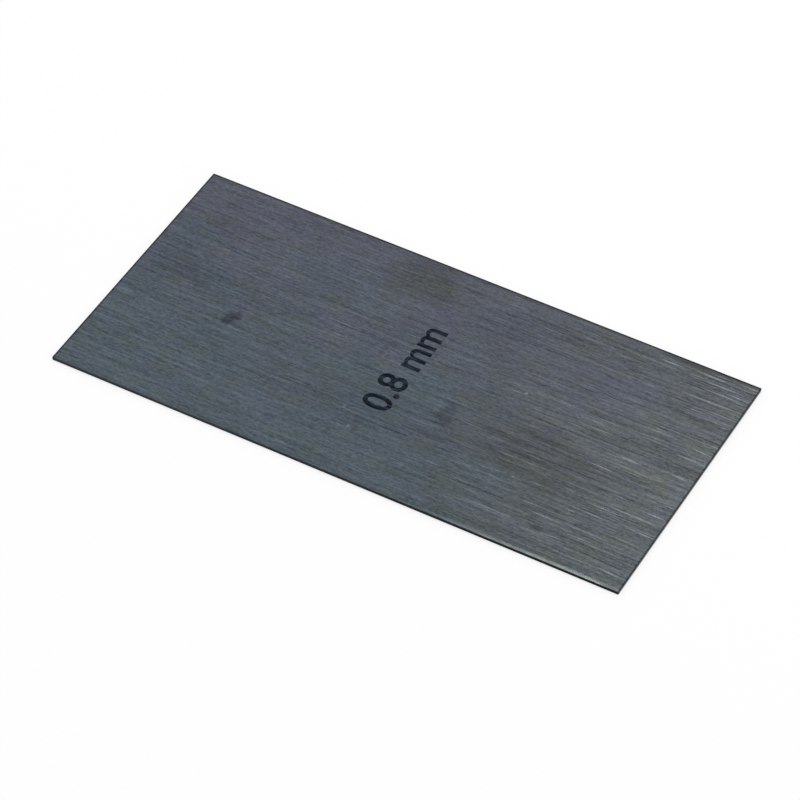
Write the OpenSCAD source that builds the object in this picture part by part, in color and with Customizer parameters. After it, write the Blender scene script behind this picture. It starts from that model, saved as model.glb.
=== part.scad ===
// Cabinet scraper: one flat card of hardened and tempered strip steel.
// The two long edges are ground square and do the scraping. The two ends stay as the shear left them.
// X runs along the scraping edges, Y across the card and Z up. The origin is under the middle of the card.

/* [Card] */
// Length of the card, along its scraping edges
card_length = 125; // [60:1:180]
// Width of the card, from one scraping edge to the other
card_width = 62; // [30:0.5:100]
// Thickness of the strip steel
card_thickness = 0.8; // [0.4:0.05:1.5]
// Radius that takes the sharpness off the four corners, seen from above
corner_radius = 0.1; // [0.05:0.05:5]

/* [Scraping edges] */
// Width of the soft shoulder that linishing leaves on each face beside a scraping edge
shoulder_width = 0.9; // [0.3:0.1:2]
// Drop of the face across that shoulder
shoulder_drop = 0.04; // [0.01:0.01:0.12]

/* [Sheared ends] */
// Radius of the die roll, on the face where the shear blade went in
die_roll_radius = 0.12; // [0.04:0.02:0.2]
// Height of the bright burnished band that the blade left under the die roll
burnish_height = 0.26; // [0.05:0.01:0.4]
// Angle at which the torn rest of the cut leans in under the burnished band
tear_angle = 5; // [0:0.5:10]

/* [Hidden] */
// Facets of a true circle, for the preview alone
$fn = 96;
half_length = card_length / 2;
half_width = card_width / 2;
// The shoulder is an arc that leaves the face without a crease
shoulder_radius = (pow(shoulder_width, 2) + pow(shoulder_drop, 2)) / (2 * shoulder_drop);
// The torn band takes what the die roll and the burnished band leave of the thickness
tear_height = card_thickness - die_roll_radius - burnish_height;
tear_lean = tear_height * tan(tear_angle);
// Cutting bodies run past the card by this much
overrun = 1;

// Copies its children to the other side of the YZ plane
module both_sides() {
    children();
    mirror([1, 0, 0]) children();
}

// Section of the linished strip: width along X, thickness along Y.
// Two shoulder arcs bound each edge zone, above and below, and the ground edge is the flat between them.
module strip_section() {
    flat_width = card_width - 2 * shoulder_width;
    translate([-flat_width / 2, 0]) square([flat_width, card_thickness]);
    both_sides() intersection() {
        translate([flat_width / 2, 0]) square([shoulder_width, card_thickness]);
        translate([flat_width / 2, card_thickness - shoulder_radius]) circle(r = shoulder_radius);
        translate([flat_width / 2, shoulder_radius]) circle(r = shoulder_radius);
    }
}

// Section of a length cut from the strip: length along X, thickness along Y.
// Each cut end has a die roll at the top, then the burnished band, then the torn band.
module sheared_section() {
    roll_start = half_length - die_roll_radius;
    roll_bottom = card_thickness - die_roll_radius;
    polygon([
        [-roll_start, card_thickness], [-roll_start, roll_bottom],
        [-half_length, roll_bottom], [-half_length, tear_height], [-half_length + tear_lean, 0],
        [half_length - tear_lean, 0], [half_length, tear_height], [half_length, roll_bottom],
        [roll_start, roll_bottom], [roll_start, card_thickness],
    ]);
    both_sides() intersection() {
        translate([roll_start, roll_bottom]) square(die_roll_radius);
        translate([roll_start, roll_bottom]) circle(r = die_roll_radius);
    }
}

// Outline of the card from above, with its four relieved corners
module card_outline() {
    square([card_length - 2 * corner_radius, card_width], center = true);
    square([card_length, card_width - 2 * corner_radius], center = true);
    for (x = [-1, 1], y = [-1, 1])
        translate([x * (half_length - corner_radius), y * (half_width - corner_radius)])
            circle(r = corner_radius);
}

// The whole tool is this one piece: the strip, cut to length, with its corners relieved
module scraper_card() color([0.36, 0.39, 0.41]) intersection() {
    rotate([90, 0, 90]) linear_extrude(height = card_length + 2 * overrun, center = true) strip_section();
    rotate([90, 0, 0]) linear_extrude(height = card_width + 2 * overrun, center = true) sheared_section();
    translate([0, 0, -overrun]) linear_extrude(height = card_thickness + 2 * overrun) card_outline();
}

scraper_card();
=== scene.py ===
import math

import bmesh
import bpy
from mathutils import Matrix, Vector


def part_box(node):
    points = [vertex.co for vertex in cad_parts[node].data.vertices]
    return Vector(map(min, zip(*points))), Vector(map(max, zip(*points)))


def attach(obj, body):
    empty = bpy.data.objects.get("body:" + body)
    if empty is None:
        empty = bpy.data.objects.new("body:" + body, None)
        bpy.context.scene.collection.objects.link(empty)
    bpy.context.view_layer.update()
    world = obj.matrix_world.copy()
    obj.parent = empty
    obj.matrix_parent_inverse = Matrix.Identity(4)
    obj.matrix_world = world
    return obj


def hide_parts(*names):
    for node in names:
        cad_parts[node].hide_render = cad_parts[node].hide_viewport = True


# Cabinet scraper: one card of brushed strip steel with its thickness printed on it, on a pale floor.
# The frame is in metres. Sizes and places in this file are in millimetres, turned to metres by MM.
# X runs along the two scraping edges, Y across the card from its front edge to its back edge, and Z up.

MM = 0.001
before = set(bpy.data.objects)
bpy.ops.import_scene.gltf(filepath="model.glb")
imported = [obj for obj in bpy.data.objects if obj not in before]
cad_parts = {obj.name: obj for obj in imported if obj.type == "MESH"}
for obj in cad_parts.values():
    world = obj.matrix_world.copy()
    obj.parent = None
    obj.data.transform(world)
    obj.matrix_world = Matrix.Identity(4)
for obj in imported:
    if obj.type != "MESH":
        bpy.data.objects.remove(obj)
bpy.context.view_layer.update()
card_low, card_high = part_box("scraper_card")

# Sizes of the card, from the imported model
HALF_LENGTH = card_high.x / MM
HALF_WIDTH = card_high.y / MM
THICKNESS = (card_high.z - card_low.z) / MM

# Sizes of the card's edges, as the part's source has them
CORNER_RADIUS = 0.1
SHOULDER_WIDTH = 0.9
SHOULDER_DROP = 0.04
DIE_ROLL_RADIUS = 0.12
BURNISH_HEIGHT = 0.26
TEAR_ANGLE = math.radians(5)
SHOULDER_RADIUS = (SHOULDER_WIDTH ** 2 + SHOULDER_DROP ** 2) / (2 * SHOULDER_DROP)
TEAR_TOP = THICKNESS - DIE_ROLL_RADIUS - BURNISH_HEIGHT

# Mesh steps along the card, across half of its flat, on a shoulder, round a corner and round the die roll.
# The steps along the card start close to its ends, so that the die roll doesn't tilt the flat's shading.
LENGTH_STEPS = 50
END_MARGIN = 0.1
HALF_FLAT_STEPS = 12
SHOULDER_STEPS = 6
CORNER_STEPS = 8
ROLL_STEPS = 6
SHARP_ANGLE = math.radians(25)

# The printed mark
MARK_HEIGHT = 6.0
MARK_CENTRE = (-0.6, 1.0)
MARK_TURN = math.radians(90)
MARK_BOLDNESS = 0.12
MARK_CURVE_STEPS = 8
DIGIT_SHARE_OF_FONT = 0.7
INK_PROUD = 0.012
INK_SUNK = 0.008
INK_WELD = INK_PROUD / 100

# The camera of the photograph: where it looks from, what it looks at and how long its lens is
CAMERA_AZIMUTH = math.radians(28.039)
CAMERA_ELEVATION = math.radians(45.314)
CAMERA_ROLL = math.radians(1.376)
CAMERA_DISTANCE = 814.34
CAMERA_AIM = Vector((2.243, -6.561, 0))
IMAGE_SIDE_PIXELS = 800
FOCAL_LENGTH_PIXELS = 4168.5
SENSOR_WIDTH = 36

# The studio: the floor, the light of the surroundings and one soft box overhead
FLOOR_RADIUS = 6000
FLOOR_SIDES = 64
FLOOR_GAP = 0.02
FLOOR_PAINT = 0.30
FLOOR_LIFT = (0.718, 0.721, 0.727, 1)
SKY_LIGHT = 0.75
WHITE = (1, 1, 1, 1)
SOFT_BOX_CENTRE = (80, 375, 900)
SOFT_BOX_SIZE = (600, 350)
SOFT_BOX_LEVEL = 3.2
SOFT_BOX_COLOUR = (1.0, 0.91, 0.84)


def linear_light(share):
    """The linear light of a share of full brightness on a screen, by the sRGB curve."""
    return share / 12.92 if share <= 0.04045 else ((share + 0.055) / 1.055) ** 2.4


def srgb(red, green, blue):
    """A colour as a screen shows it, from 0 to 255, in Blender's linear light."""
    return [linear_light(c / 255) for c in (red, green, blue)] + [1.0]


def new_object(name, data):
    """Adds an object to the scene, with the mesh, curve, lamp or camera that it shows."""
    made = bpy.data.objects.new(name, data)
    bpy.context.scene.collection.objects.link(made)
    return made


# Mesh of the card

def spread(start, end, count):
    """Places from start to end in equal steps, without the start."""
    return [start + (end - start) * i / count for i in range(1, count + 1)]


def along_stations(reach):
    """Places along the card, from close to its left end to close to its right end."""
    inner = reach - END_MARGIN
    return [-inner] + spread(-inner, inner, LENGTH_STEPS)


def across_stations():
    """(place across the card, drop of its face there, inset of its ends there), from edge to edge."""
    flat_half = HALF_WIDTH - SHOULDER_WIDTH
    corner_start = HALF_WIDTH - CORNER_RADIUS
    turns = spread(0, math.pi / 2, CORNER_STEPS)
    places = [0] + spread(0, flat_half, HALF_FLAT_STEPS)
    places += spread(flat_half, corner_start, SHOULDER_STEPS)
    insets = [0] * len(places)
    places += [corner_start + CORNER_RADIUS * math.sin(t) for t in turns]
    insets += [CORNER_RADIUS * (1 - math.cos(t)) for t in turns]
    half = []
    for place, inset in zip(places, insets):
        run = max(place - flat_half, 0)
        drop = SHOULDER_RADIUS - math.sqrt(SHOULDER_RADIUS ** 2 - run ** 2)
        half.append((place, drop, inset))
    return [(-y, drop, inset) for y, drop, inset in reversed(half[1:])] + half


def end_profile(drop, inset):
    """(X, Z) down the right end: the die roll, the burnished band and the torn band."""
    end = HALF_LENGTH - inset
    centre_x = end - DIE_ROLL_RADIUS
    centre_z = THICKNESS - DIE_ROLL_RADIUS
    first = math.asin(1 - drop / DIE_ROLL_RADIUS)
    turns = [first] + spread(first, 0, ROLL_STEPS)
    points = [
        (centre_x + DIE_ROLL_RADIUS * math.cos(t), centre_z + DIE_ROLL_RADIUS * math.sin(t))
        for t in turns
    ]
    points.append((end, TEAR_TOP))
    points.append((end - (TEAR_TOP - drop) * math.tan(TEAR_ANGLE), drop))
    return points


def card_section(drop, inset):
    """(X, Z) along the sides of the card at one place across it: right end, underside, left end, top."""
    right = end_profile(drop, inset)
    left = [(-x, z) for x, z in reversed(right)]
    top_reach = right[0][0]
    bottom_reach = right[-1][0]
    under = [(-x, drop) for x in along_stations(bottom_reach)]
    top = [(x, THICKNESS - drop) for x in along_stations(top_reach)]
    return right, under, left, top


def close_edge(bm, right, under, left, top):
    """Fills the ground edge that one section bounds, in strips from the top to the underside."""
    upper = [right[0]] + top[::-1] + [left[-1]]
    lower = [right[-1]] + under + [left[0]]
    for a, b, c, d in zip(upper, upper[1:], lower[1:], lower):
        bm.faces.new((a, b, c, d))
    bm.faces.new(right)
    bm.faces.new(left)


def card_mesh():
    """Lofts the sections from one scraping edge to the other and closes both ground edges."""
    bm = bmesh.new()
    sections = []
    for y, drop, inset in across_stations():
        sides = card_section(drop, inset)
        sections.append([[bm.verts.new((x * MM, y * MM, z * MM)) for x, z in side] for side in sides])
    rings = [right + under + left + top for right, under, left, top in sections]
    for ring, after in zip(rings, rings[1:]):
        for i in range(len(ring)):
            bm.faces.new((ring[i - 1], ring[i], after[i], after[i - 1]))
    close_edge(bm, *sections[0])
    close_edge(bm, *sections[-1])
    bmesh.ops.recalc_face_normals(bm, faces=bm.faces)
    for face in bm.faces:
        face.smooth = True
    mesh = bpy.data.meshes.new("card")
    bm.to_mesh(mesh)
    bm.free()
    mesh.set_sharp_from_angle(angle=SHARP_ANGLE)
    return mesh


# Node graphs

# Noise keeps mostly within a quarter of its middle, which the spread brings to 1 on either side of 0
NOISE_MIDDLE = 0.5
NOISE_SPREAD = 4.0
# Waves to the millimetre through the thickness, so that the two faces don't have the same lines
WAVES_THROUGH = 7.3


class Graph:
    """The nodes of one material or world, each added by one short call."""

    def __init__(self, owner):
        self.owner = owner
        owner.use_nodes = True
        self.tree = owner.node_tree
        self.tree.nodes.clear()

    def add(self, kind, inputs=None, **settings):
        """Adds one node with its settings, and feeds its inputs."""
        node = self.tree.nodes.new(kind)
        for name, value in settings.items():
            setattr(node, name, value)
        for name, value in (inputs or {}).items():
            self.feed(node.inputs[name], value)
        return node

    def feed(self, socket, value):
        """Links a socket to another node's output, or sets it to a constant."""
        if isinstance(value, bpy.types.NodeSocket):
            self.tree.links.new(value, socket)
        else:
            socket.default_value = value

    def math(self, operation, *values):
        node = self.add("ShaderNodeMath", operation=operation)
        for socket, value in zip(node.inputs, values):
            self.feed(socket, value)
        return node.outputs[0]

    def total(self, *values):
        result = values[0]
        for value in values[1:]:
            result = self.math("ADD", result, value)
        return result

    def product(self, *values):
        result = values[0]
        for value in values[1:]:
            result = self.math("MULTIPLY", result, value)
        return result

    def ramp(self, value, start, end, low=0.0, high=1.0):
        """Goes smoothly from low to high as value goes from start to end."""
        inputs = {"Value": value, "From Min": start, "From Max": end, "To Min": low, "To Max": high}
        return self.add("ShaderNodeMapRange", inputs, interpolation_type="SMOOTHSTEP").outputs[0]

    def vector(self, x, y, z):
        return self.add("ShaderNodeCombineXYZ", {"X": x, "Y": y, "Z": z}).outputs[0]

    def mix(self, share, first, second, blend="MIX"):
        """The first colour, turned by that share into its blend with the second."""
        node = self.add("ShaderNodeMix", data_type="RGBA", blend_type=blend)
        first_colour, second_colour = [s for s in node.inputs if s.type == "RGBA"]
        self.feed(node.inputs["Factor"], share)
        self.feed(first_colour, first)
        self.feed(second_colour, second)
        return next(s for s in node.outputs if s.type == "RGBA")

    def millimetres(self):
        """X, Y and Z of the shaded point in the card's frame, in millimetres."""
        place = self.add("ShaderNodeTexCoord").outputs["Object"]
        scaled = self.add("ShaderNodeVectorMath", {0: place, 1: (1 / MM,) * 3}, operation="MULTIPLY")
        return self.add("ShaderNodeSeparateXYZ", {0: scaled.outputs[0]}).outputs

    def to_world(self, direction):
        """A direction of the card's frame, as the world has it."""
        spaces = {"convert_from": "OBJECT", "convert_to": "WORLD"}
        return self.add("ShaderNodeVectorTransform", {0: direction}, **spaces).outputs[0]

    def noise(self, place, waves, seed=0.0, detail=2.0, roughness=0.5):
        """Smooth noise from 0 to 1, with so many waves to the unit along X, Y and Z."""
        x, y, z = [self.product(share, count) for share, count in zip(place, waves)]
        at = self.vector(x, y, self.total(z, seed))
        inputs = {"Vector": at, "Scale": 1.0, "Detail": detail, "Roughness": roughness}
        return self.add("ShaderNodeTexNoise", inputs).outputs[0]

    def grain(self, place, length, width, seed):
        """Brush lines of about that length and width, from -1 to 1."""
        lines = self.noise(place, (1 / length, 1 / width, WAVES_THROUGH), seed, detail=1.0)
        return self.math("MULTIPLY_ADD", lines, NOISE_SPREAD, -NOISE_SPREAD * NOISE_MIDDLE)

    def seen_rays(self):
        """1 for the rays that show a thing: straight to the camera, off a gloss or through glass."""
        path = self.add("ShaderNodeLightPath").outputs
        bent = self.math("MAXIMUM", path["Is Glossy Ray"], path["Is Transmission Ray"])
        return self.math("MAXIMUM", path["Is Camera Ray"], bent)

    def surface(self, shader):
        """Ends the material with its shader, and returns the material."""
        self.add("ShaderNodeOutputMaterial", {"Surface": shader})
        return self.owner


# Steel: brush lines and scratches

# Brush lines, from hairs and grit to long bands: length, width, seed of the pattern and weight in the lay
BRUSH_LINES = [
    (4.0, 0.07, 67.1, 0.35),
    (0.7, 0.25, 3.7, 0.58),
    (7.0, 0.22, 19.9, 0.22),
    (5.5, 0.45, 1.7, 0.18),
    (18.0, 0.65, 23.1, 0.32),
    (60.0, 1.2, 41.9, 0.15),
]
# Lines that show more towards the right end, where their extra contrast in the colour is painted sheen:
# length, width and seed, then the stretch of X and the weights
END_LINES = (10.0, 0.35, 31.7)
END_LINES_ALONG = (0, 55)
END_LINES_WEIGHTS = (0.17, 0.56)

# Deeper lines whose crests catch the light, by a tip to the front and a painted glint: length, width and
# seed, then where a crest starts and is full
GLINT_LINES = (8.0, 0.4, 91.3)
GLINT_CREST = (0.55, 1.2)

# Long scratches on the upper face: centre, length and how much they catch the light, by a tip to the front
# and a painted glint
LONG_SCRATCHES = [
    ((54.0, 22.3), 14.0, 0.6),
    ((56.8, -12.4), 13.0, 0.5),
    ((56.5, 27.3), 10.0, 0.5),
    ((58.9, 6.5), 8.0, 0.5),
    ((52.7, 28.9), 8.0, 0.5),
    ((50.8, -20.5), 12.0, 0.5),
    ((57.5, 25.2), 10.0, 0.5),
    ((48.8, 0.5), 7.0, 0.8),
    ((41.4, -20.8), 8.0, 0.7),
    ((50.1, 10.3), 11.0, 0.5),
]
SCRATCH_REACH = 0.33
SCRATCH_RAGGED = 1.0

# Ragged spots: waves of their outline, and the share of their reach where they start and are full
SPOT_WAVES = (1.2, 1.6, 0)
SPOT_RIM = (1.0, 0.35)

# How lines turn the surface: the lay bumps it, long lines tip it lengthwise, scratches tip it to the front
LAY_HEIGHT = 0.003
BUMP_STRENGTH = 0.5
TIPPED_LINES = (14.0, 0.26, 57.7)
LINE_TILT = 0.03
SCRATCH_TILT = 0.09


def ragged_spot(graph, place, centre, reach, ragged):
    """1 inside a ragged spot on the upper face and 0 outside it."""
    x, y, z = place
    along = graph.math("DIVIDE", graph.math("SUBTRACT", x, centre[0]), reach[0])
    across = graph.math("DIVIDE", graph.math("SUBTRACT", y, centre[1]), reach[1])
    away = graph.math("SQRT", graph.total(graph.product(along, along), graph.product(across, across)))
    spot = (along, across, z)
    wander = graph.noise(spot, SPOT_WAVES, seed=centre[0], detail=4.0, roughness=0.65)
    outline = graph.math("MULTIPLY_ADD", graph.math("SUBTRACT", wander, NOISE_MIDDLE), ragged, away)
    on_top = graph.math("GREATER_THAN", z, THICKNESS / 2)
    return graph.product(graph.ramp(outline, *SPOT_RIM), on_top)


def brush_lay(graph, place):
    """The brush lines that linishing leaves, as one signed height, with painted sheen making some show more
    towards the right end.
    """
    # Painted sheen: these lines show more towards the right end
    shown = graph.ramp(place["X"], *END_LINES_ALONG, *END_LINES_WEIGHTS)
    weighed = [graph.product(graph.grain(place, *END_LINES), shown)]
    for length, width, seed, weight in BRUSH_LINES:
        weighed.append(graph.product(graph.grain(place, length, width, seed), weight))
    return graph.total(*weighed)


def scratches_and_painted_glints(graph, place):
    """Up to 1 on the few deeper lines and long scratches that catch the light, and 0 elsewhere; they are
    tipped and given a painted glint.
    """
    shown = graph.ramp(graph.grain(place, *GLINT_LINES), *GLINT_CREST)
    for centre, length, share in LONG_SCRATCHES:
        scratch = ragged_spot(graph, place, centre, (length / 2, SCRATCH_REACH), SCRATCH_RAGGED)
        shown = graph.math("MAXIMUM", shown, graph.product(scratch, share))
    return shown


def brushed_normal(graph, place, lay, scratches_and_glints):
    """The way the surface faces: bumped by the lay, tipped by long lines and by scratches."""
    bump_inputs = {"Strength": BUMP_STRENGTH, "Distance": LAY_HEIGHT * MM, "Height": lay}
    bump = graph.add("ShaderNodeBump", bump_inputs)
    lines = graph.grain(place, *TIPPED_LINES)
    tilt = graph.vector(graph.product(lines, LINE_TILT), graph.product(scratches_and_glints, -SCRATCH_TILT), 0.0)
    tilted = graph.add("ShaderNodeVectorMath", {0: bump.outputs[0], 1: tilt}, operation="ADD")
    return graph.add("ShaderNodeVectorMath", {0: tilted.outputs[0]}, operation="NORMALIZE").outputs[0]


# Steel: colour and brightness of the faces

# Slate colours from the front to the back, with a boundary that wanders in patches, and grey to the right
FRONT_SLATE = srgb(85, 96, 106)
BACK_SLATE = srgb(90, 94, 107)
FRONT_TO_BACK = (-24, 28)
PATCH_WAVES = (0.07, 0.09, 9.0)
PATCH_RANGE = (0.2, 0.8)
PATCH_WANDER = (-0.5, 0.5)
END_GREY = srgb(88, 94, 99)
END_GREY_ALONG = (0, 45)
END_GREY_SHARE = 0.85

# Patches of straw-coloured film: shares of red, green and blue sent back, and the noise that places them
STRAW_FILM = (1.02, 1.0, 0.84, 1)
FILM_WAVES = (0.2, 0.3, 5.0)
FILM_SEED = 3.3
FILM_RANGE = (0.35, 0.75)
FILM_SHARE = 0.8

# Stains and specks on the upper face: centre, reach along X and Y, raggedness, and the shares of red,
# green and blue that they send back
STAINS_AND_GLINT_SPECKS = [
    # Wide and faint
    ((-10.5, 23.5), (11.5, 8.5), 1.2, (0.86, 0.87, 0.77, 1)),
    ((34.0, -8.0), (18.0, 10.0), 1.2, (0.86, 0.84, 0.825, 1)),
    ((-55.0, 4.5), (9.0, 6.0), 1.4, (0.83, 0.86, 0.86, 1)),
    ((50.0, 31.0), (14.0, 2.0), 0.8, (0.77, 0.75, 0.73, 1)),
    ((36.0, 16.0), (13.0, 11.0), 1.3, (0.97, 0.95, 1.07, 1)),
    ((-2.0, -11.0), (28.0, 12.0), 0.8, (0.93, 0.92, 0.92, 1)),
    ((24.0, -4.0), (18.0, 12.0), 1.0, (1.0, 0.95, 0.955, 1)),
    ((-24.0, -10.5), (20.0, 8.0), 1.0, (1.0, 0.95, 0.96, 1)),
    ((-44.0, 2.5), (11.0, 9.0), 1.0, (0.95, 1.0, 1.0, 1)),
    # Small and dark
    ((-38.2, -4.4), (1.6, 2.8), 1.7, (0.57, 0.60, 0.64, 1)),
    ((-36.8, -3.2), (1.3, 2.2), 1.7, (0.65, 0.59, 0.64, 1)),
    ((12.4, -6.0), (2.3, 4.6), 0.9, (0.74, 0.73, 0.77, 1)),
    ((39.4, -22.1), (2.0, 1.4), 1.6, (0.86, 0.80, 0.78, 1)),
    ((41.4, -24.1), (2.4, 0.7), 1.6, (0.67, 0.65, 0.67, 1)),
    # Light specks: painted glints of small bright points
    ((-6.0, -14.2), (0.45, 0.45), 0.3, (1.9, 1.95, 2.0, 1)),
    ((-2.7, -18.5), (0.45, 0.5), 0.3, (1.8, 1.85, 1.9, 1)),
    ((23.2, 6.7), (0.5, 0.45), 0.3, (1.75, 1.8, 1.85, 1)),
    ((31.4, -14.6), (0.4, 0.35), 0.3, (1.8, 1.8, 1.8, 1)),
]

# Tone of the face: its level, slow clouds, the lay, and painted glints on the bright scratches, which are
# weaker on the left
BASE_TONE = 0.79
CLOUD_TONE = 0.22
CLOUD_WAVES = (0.025, 0.05, 3.0)
LAY_CONTRAST = 0.46
GLINT_ALONG = (-10, 45)
GLINT_ON_LEFT = 0.55
DARKEST_TONE = 0.05

# Bands beside the edges: how far each one reaches, and the share of the tone that is left at the edge
DULL_RIM = (0.65, 0.05)
DULL_END = (0.4, 0.1)
RUBBED_RIM = (0.2, 0.92)
BACK_SHADE = (1.8, 0.85)

# Shade beside the left half of the front edge: where it fades across and along the card, and its share
FRONT_SHADE_ACROSS = (0.3, 0.8)
FRONT_SHADE_ALONG = (5, 25)
FRONT_SHADE = 0.87

# The strip that handling has polished beside the right half of the front edge, which also carries a painted
# highlight: where it comes in across and along the card, its band at the right end, how much painted
# highlight it adds to the tone, and that highlight's warm tint
WORN_AND_HIGHLIGHT_ACROSS = (1.0, 0.1)
WORN_AND_HIGHLIGHT_ALONG = (10, 58)
WORN_AND_HIGHLIGHT_CORNER = (11, 0.05)
STRIP_PAINTED_HIGHLIGHT = 1.9
STRIP_HIGHLIGHT_TINT = (1.05, 1.0, 0.88, 1)


def edge_distances(graph, place):
    """Distances of the shaded point from the front edge, the back edge, the left end and the right end."""
    from_front = graph.total(place["Y"], HALF_WIDTH)
    from_back = graph.math("SUBTRACT", HALF_WIDTH, place["Y"])
    from_left = graph.total(place["X"], HALF_LENGTH)
    from_right = graph.math("SUBTRACT", HALF_LENGTH, place["X"])
    return from_front, from_back, from_left, from_right


def edge_band(graph, distance, reach, share):
    """The given share at an edge, rising to 1 at the band's reach from it."""
    return graph.ramp(distance, start=0, end=reach, low=share)


def worn_and_highlight_strip(graph, place):
    """1 on the polished strip beside the front edge, which also carries a painted highlight, and 0
    elsewhere.
    """
    from_front, _, _, from_right = edge_distances(graph, place)
    across = graph.ramp(from_front, *WORN_AND_HIGHLIGHT_ACROSS)
    along = graph.ramp(place["X"], *WORN_AND_HIGHLIGHT_ALONG)
    return graph.product(across, along, edge_band(graph, from_right, *WORN_AND_HIGHLIGHT_CORNER))


def slate(graph, place):
    """The colour of the steel: blue at the back, green at the front, grey at the right, straw in patches."""
    patches = graph.noise(place, PATCH_WAVES, detail=3.0, roughness=0.6)
    wander = graph.ramp(patches, *PATCH_RANGE, *PATCH_WANDER)
    to_back = graph.total(graph.ramp(place["Y"], *FRONT_TO_BACK), wander)
    colour = graph.mix(graph.ramp(to_back, start=0, end=1), FRONT_SLATE, BACK_SLATE)
    colour = graph.mix(graph.ramp(place["X"], *END_GREY_ALONG, high=END_GREY_SHARE), colour, END_GREY)
    film = graph.noise(place, FILM_WAVES, seed=FILM_SEED)
    filmed = graph.mix(1.0, colour, STRAW_FILM, "MULTIPLY")
    return graph.mix(graph.ramp(film, *FILM_RANGE, high=FILM_SHARE), colour, filmed)


def face_tone(graph, place, lay, scratches_and_glints, worn_and_highlight):
    """How bright the face is: brush lines, slow clouds, painted glints on the bright scratches, edge bands
    and the painted highlight of the worn strip.
    """
    from_front, from_back, from_left, from_right = edge_distances(graph, place)
    clouds = graph.noise(place, CLOUD_WAVES, detail=3.0)
    base = graph.math("MULTIPLY_ADD", clouds, CLOUD_TONE, BASE_TONE)
    # Painted glints: the scratches brightened in the colour, more towards the right end
    painted_glints = graph.product(scratches_and_glints, graph.ramp(place["X"], *GLINT_ALONG, low=GLINT_ON_LEFT))
    front_share = graph.ramp(place["X"], *FRONT_SHADE_ALONG, low=FRONT_SHADE)
    tone = graph.product(
        graph.total(base, graph.product(lay, LAY_CONTRAST), painted_glints),
        edge_band(graph, graph.math("MINIMUM", from_back, from_left), *DULL_RIM),
        edge_band(graph, from_right, *DULL_END),
        edge_band(graph, from_front, *RUBBED_RIM),
        edge_band(graph, from_back, *BACK_SHADE),
        graph.ramp(from_front, *FRONT_SHADE_ACROSS, low=front_share),
        # Painted highlight on the worn strip beside the front edge
        graph.math("MULTIPLY_ADD", worn_and_highlight, STRIP_PAINTED_HIGHLIGHT, 1.0),
    )
    return graph.math("MAXIMUM", tone, DARKEST_TONE)


def face_colour(graph, place, lay, scratches_and_glints, worn_and_highlight):
    """The slate colour at its tone, warmed by the painted highlight on the worn strip, under the stains and
    specks.
    """
    tone = face_tone(graph, place, lay, scratches_and_glints, worn_and_highlight)
    colour = graph.mix(1.0, slate(graph, place), graph.vector(tone, tone, tone), "MULTIPLY")
    # Warm tint of the painted highlight on the worn strip
    colour = graph.mix(worn_and_highlight, colour, STRIP_HIGHLIGHT_TINT, "MULTIPLY")
    # The stains darken the colour, and the light specks are painted glints
    for centre, reach, ragged, shares in STAINS_AND_GLINT_SPECKS:
        colour = graph.mix(ragged_spot(graph, place, centre, reach, ragged), colour, shares, "MULTIPLY")
    return colour


# Steel: the rim

# Dark and light shade of each part of the rim, the waves of its pattern, and where the light shade comes in
GROUND_SHADES = (srgb(17, 19, 22), srgb(58, 62, 66))
TORN_SHADES = (srgb(14, 15, 17), srgb(34, 36, 39))
BURNISHED_SHADES = (srgb(28, 30, 33), srgb(48, 51, 55))
GROUND_WAVES = (0.15, 1.0, 14.0)
TORN_WAVES = (1.0, 6.0, 3.0)
BURNISHED_WAVES = (1.0, 9.0, 0.8)
LIGHT_SHADE_RANGE = (0.3, 0.7)

# The ground edges get darker towards the right, and the bands of the ends blur into each other
GROUND_FAR_END = srgb(8, 9, 10)
FAR_END_ALONG = (-55, 60)
FAR_END_SHARE = 0.75
BAND_BLUR = 0.04

# How much a surface faces an end to be part of it, and how little it faces up or down to be the rim
END_FACING = (0.4, 0.6)
RIM_FACING = (0.9, 0.5)


def shaded(graph, pattern, shades):
    """The dark shade where a pattern of noise is low, and the light one where it is high."""
    return graph.mix(graph.ramp(pattern, *LIGHT_SHADE_RANGE), *shades)


def rim_colour(graph, place, normal):
    """Grinding lines along the scraping edges; a torn band under a burnished one on the sheared ends."""
    grinding = graph.noise(place, GROUND_WAVES, detail=3.0, roughness=0.65)
    tearing = graph.noise(place, TORN_WAVES, detail=3.0)
    drawing = graph.noise(place, BURNISHED_WAVES)
    to_right = graph.ramp(place["X"], *FAR_END_ALONG, high=FAR_END_SHARE)
    ground = graph.mix(to_right, shaded(graph, grinding, GROUND_SHADES), GROUND_FAR_END)
    torn = shaded(graph, tearing, TORN_SHADES)
    burnished = shaded(graph, drawing, BURNISHED_SHADES)
    to_burnished = graph.ramp(place["Z"], start=TEAR_TOP - BAND_BLUR, end=TEAR_TOP + BAND_BLUR)
    sheared = graph.mix(to_burnished, torn, burnished)
    to_end = graph.ramp(graph.math("ABSOLUTE", normal["X"]), *END_FACING)
    return graph.mix(to_end, ground, sheared)


# Materials

# Gloss of the steel: roughness of the face and of the worn strip, and how much smoother the crests are
FACE_ROUGHNESS = 0.27
WORN_ROUGHNESS = 0.14
CREST_POLISH = 0.03
ANISOTROPY = 0.9
ACROSS_LAY = (0, 1, 0)

# The ink: dark and light shade, and its wear along the brush lines and in patches
INK_SHADES = (srgb(5, 11, 24), srgb(50, 59, 73))
INK_LINES = (5.0, 0.3, 77.0)
INK_LINE_WEAR = 0.7
INK_PATCH_WAVES = (0.7, 0.9, 1.0)
INK_WEAR_RANGE = (0.2, 1.1)
INK_ROUGHNESS = 0.6
INK_SPECULAR = 0.05


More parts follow.
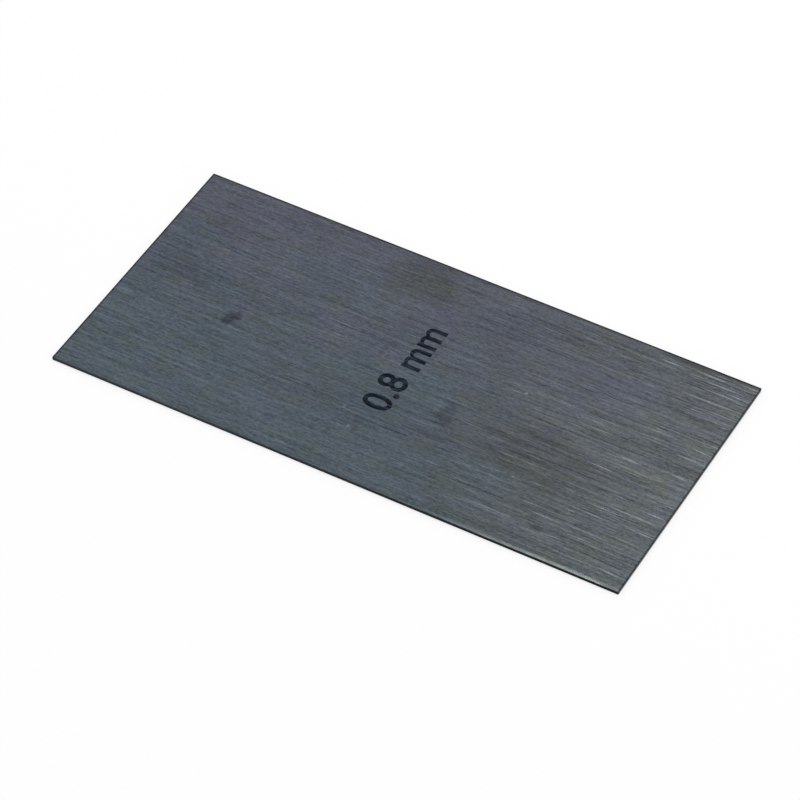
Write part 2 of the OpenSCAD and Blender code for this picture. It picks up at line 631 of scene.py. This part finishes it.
def brushed_steel():
    """Metal with its highlight across the brush lines: the faces, and the darker rim round them."""
    graph = Graph(bpy.data.materials.new("brushed_steel"))
    place = graph.millimetres()
    facing = graph.add("ShaderNodeNewGeometry").outputs["True Normal"]
    normal = graph.add("ShaderNodeSeparateXYZ", {0: facing}).outputs
    lay = brush_lay(graph, place)
    scratches_and_glints = scratches_and_painted_glints(graph, place)
    # The worn strip: smoother, and carrying a painted highlight in the colour
    worn_and_highlight = worn_and_highlight_strip(graph, place)
    face = face_colour(graph, place, lay, scratches_and_glints, worn_and_highlight)
    rim = rim_colour(graph, place, normal)
    to_rim = graph.ramp(graph.math("ABSOLUTE", normal["Z"]), *RIM_FACING)
    polish = graph.ramp(worn_and_highlight, start=0, end=1, low=FACE_ROUGHNESS, high=WORN_ROUGHNESS)
    shader = graph.add("ShaderNodeBsdfPrincipled", {
        "Base Color": graph.mix(to_rim, face, rim),
        "Metallic": 1.0,
        "Roughness": graph.math("MULTIPLY_ADD", lay, -CREST_POLISH, polish),
        "Anisotropic": ANISOTROPY,
        "Tangent": graph.to_world(ACROSS_LAY),
        "Normal": brushed_normal(graph, place, lay, scratches_and_glints),
    })
    return graph.surface(shader.outputs[0])


def printed_ink():
    """Matt ink, worn thinner along the brush lines under it and in small patches."""
    graph = Graph(bpy.data.materials.new("printed_ink"))
    place = graph.millimetres()
    lines = graph.grain(place, *INK_LINES)
    patches = graph.noise(place, INK_PATCH_WAVES, detail=3.0)
    wear = graph.total(graph.product(lines, INK_LINE_WEAR), patches)
    shader = graph.add("ShaderNodeBsdfPrincipled", {
        "Base Color": graph.mix(graph.ramp(wear, *INK_WEAR_RANGE), *INK_SHADES),
        "Roughness": INK_ROUGHNESS,
        "Specular IOR Level": INK_SPECULAR,
    })
    return graph.surface(shader.outputs[0])


def pale_floor():
    """Matt paint that takes the card's shadow, lifted to white for the rays that show it."""
    graph = Graph(bpy.data.materials.new("pale_floor"))
    paint = graph.add("ShaderNodeBsdfDiffuse", {"Color": (FLOOR_PAINT, FLOOR_PAINT, FLOOR_PAINT, 1)})
    lift = graph.add("ShaderNodeEmission", {"Color": FLOOR_LIFT, "Strength": graph.seen_rays()})
    both = graph.add("ShaderNodeAddShader", {0: paint.outputs[0], 1: lift.outputs[0]})
    return graph.surface(both.outputs[0])


# Pieces of the object

def make_card():
    """The steel card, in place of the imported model's one node."""
    card = new_object("card", card_mesh())
    card.data.materials.append(brushed_steel())
    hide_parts("scraper_card")
    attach(card, "root")


def mark_mesh():
    """The card's thickness in figures, as one closed mesh about its own middle."""
    curve = bpy.data.curves.new("thickness_mark", "FONT")
    curve.body = f"{THICKNESS:.1f} mm"
    curve.align_x = "CENTER"
    curve.align_y = "CENTER"
    curve.size = MARK_HEIGHT / DIGIT_SHARE_OF_FONT * MM
    curve.extrude = (INK_PROUD + INK_SUNK) / 2 * MM
    curve.offset = MARK_BOLDNESS * MM
    curve.resolution_u = MARK_CURVE_STEPS
    text = new_object("text", curve)
    mesh = bpy.data.meshes.new_from_object(text.evaluated_get(bpy.context.evaluated_depsgraph_get()))
    bpy.data.objects.remove(text)
    bm = bmesh.new()
    bm.from_mesh(mesh)
    bmesh.ops.remove_doubles(bm, verts=bm.verts, dist=INK_WELD * MM)
    bm.to_mesh(mesh)
    bm.free()
    return mesh


def make_mark():
    """Prints the mark across the middle of the upper face, to be read from the front edge to the back."""
    mesh = mark_mesh()
    middle = THICKNESS + (INK_PROUD - INK_SUNK) / 2
    place = Matrix.Translation(Vector((*MARK_CENTRE, middle)) * MM)
    mesh.transform(place @ Matrix.Rotation(MARK_TURN, 4, "Z"))
    mesh.materials.append(printed_ink())
    mark = new_object("thickness_mark", mesh)
    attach(mark, "root")


# Studio

def make_floor():
    """A wide disc just under the card."""
    bm = bmesh.new()
    bmesh.ops.create_circle(bm, cap_ends=True, segments=FLOOR_SIDES, radius=FLOOR_RADIUS * MM)
    mesh = bpy.data.meshes.new("floor")
    bm.to_mesh(mesh)
    bm.free()
    mesh.materials.append(pale_floor())
    floor = new_object("floor", mesh)
    floor.location.z = -FLOOR_GAP * MM


def make_world():
    """White all round where it is seen, and somewhat dimmer as light on the object."""
    world = bpy.data.worlds.new("studio")
    bpy.context.scene.world = world
    graph = Graph(world)
    level = graph.ramp(graph.seen_rays(), start=0, end=1, low=SKY_LIGHT)
    background = graph.add("ShaderNodeBackground", {"Color": WHITE, "Strength": level})
    graph.add("ShaderNodeOutputWorld", {"Surface": background.outputs[0]})


def make_soft_box():
    """A flat lamp behind the card that faces down, so many times as bright as white."""
    data = bpy.data.lights.new("soft_box", "AREA")
    data.shape = "RECTANGLE"
    data.size = SOFT_BOX_SIZE[0] * MM
    data.size_y = SOFT_BOX_SIZE[1] * MM
    data.energy = SOFT_BOX_LEVEL * math.pi * data.size * data.size_y
    data.color = SOFT_BOX_COLOUR
    lamp = new_object("soft_box", data)
    lamp.location = Vector(SOFT_BOX_CENTRE) * MM


def make_camera():
    """The camera at its distance from its aim, turned about its own axis by its roll."""
    level = math.cos(CAMERA_ELEVATION)
    back = Vector((
        math.sin(CAMERA_AZIMUTH) * level,
        -math.cos(CAMERA_AZIMUTH) * level,
        math.sin(CAMERA_ELEVATION),
    ))
    data = bpy.data.cameras.new("camera")
    data.sensor_width = SENSOR_WIDTH
    data.lens = FOCAL_LENGTH_PIXELS / IMAGE_SIDE_PIXELS * SENSOR_WIDTH
    camera = new_object("camera", data)
    turn = back.to_track_quat("Z", "Y").to_matrix() @ Matrix.Rotation(CAMERA_ROLL, 3, "Z")
    camera.matrix_world = Matrix.Translation((CAMERA_AIM + back * CAMERA_DISTANCE) * MM) @ turn.to_4x4()
    bpy.context.scene.camera = camera


make_camera()
make_card()
make_mark()
make_floor()
make_world()
make_soft_box()
bpy.context.scene.view_settings.view_transform = "Standard"
